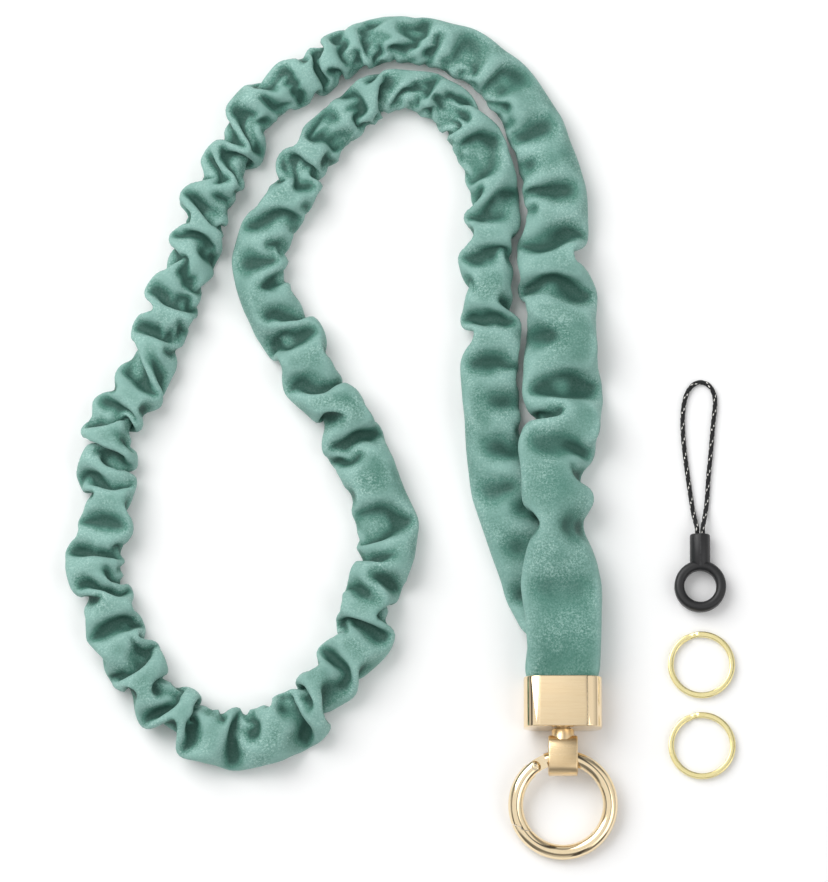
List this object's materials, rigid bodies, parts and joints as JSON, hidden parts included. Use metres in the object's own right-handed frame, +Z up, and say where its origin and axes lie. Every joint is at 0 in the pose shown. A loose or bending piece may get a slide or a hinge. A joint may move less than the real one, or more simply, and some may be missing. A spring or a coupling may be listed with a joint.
{
  "type": "lanyard",
  "caption": "Gathered fabric neck lanyard with a metal end cap, swivel eye and spring-gate ring clasp, with a corded tether ring and split rings.",
  "frame": {"origin": "below the middle of the laid-out set, on the surface it lies on", "axes": "+Y from the clasp towards the top of the strap's loops, +X towards the tether and split rings, +Z up from the surface"},
  "size_m": [0.1969, 0.2552, 0.013],
  "materials": {
    "gathered_cloth": "soft brushed cloth with a fine pale fleck, sea green",
    "woven_core": "plain woven webbing",
    "cap_gold": "light gold plate, finely brushed front, polished sides",
    "eye_gold": "light gold plate, brushed across",
    "ring_gold": "light gold plate, polished",
    "yellow_gold": "yellow gold plate, polished",
    "spring_steel": "plain",
    "set_glue": "cured clear adhesive",
    "black_moulding": "moulded, satin, slight texture",
    "black_braid": "braided cord with pale tracer flecks",
    "crimp_brass": "pressed"
  },
  "bodies": {
    "strap": {"fabric_sleeve": "gathered_cloth", "core_strap": "woven_core", "end_cap": "cap_gold", "glue_plug": "set_glue", "swivel_washer": "spring_steel"},
    "swivel": {"swivel_eye": "eye_gold"},
    "clasp": {"clasp_ring": "ring_gold"},
    "gate": {"clasp_gate": "ring_gold", "gate_pin": "ring_gold", "gate_plunger": "spring_steel", "gate_spring": "spring_steel"},
    "tether": {"tether_ring": "black_moulding", "tether_cord": "black_braid", "cord_crimp": "crimp_brass"},
    "ring_a": {"split_ring_a": "yellow_gold"},
    "ring_b": {"split_ring_b": "yellow_gold"}
  },
  "joints": [
    {"name": "swivel_spin", "type": "hinge", "parent": "strap", "child": "swivel", "pos_m": [0.0474, -0.0883, 0.0065], "axis": [0, 1, 0], "continuous": true},
    {"name": "ring_swing", "type": "hinge", "parent": "swivel", "child": "clasp", "pos_m": [0.0474, -0.09705, 0.0065], "axis": [-1, 0, 0], "range_deg": [-130, 145]},
    {"name": "gate_hinge", "type": "hinge", "parent": "clasp", "child": "gate", "pos_m": [0.03891, -0.09986, 0.00607], "axis": [0, -0.1507, 0.9886], "range_deg": [0, 28], "stiffness_Nm_per_rad": 0.03, "springref_deg": -28.65},
    {"name": "tether_lift", "type": "slide", "parent": "strap", "child": "tether", "axis": [0, 0, 1], "range_m": [0, 0.06]},
    {"name": "split_ring_a_lift", "type": "slide", "parent": "strap", "child": "ring_a", "axis": [0, 0, 1], "range_m": [0, 0.06]},
    {"name": "split_ring_b_lift", "type": "slide", "parent": "strap", "child": "ring_b", "axis": [0, 0, 1], "range_m": [0, 0.06]}
  ]
}
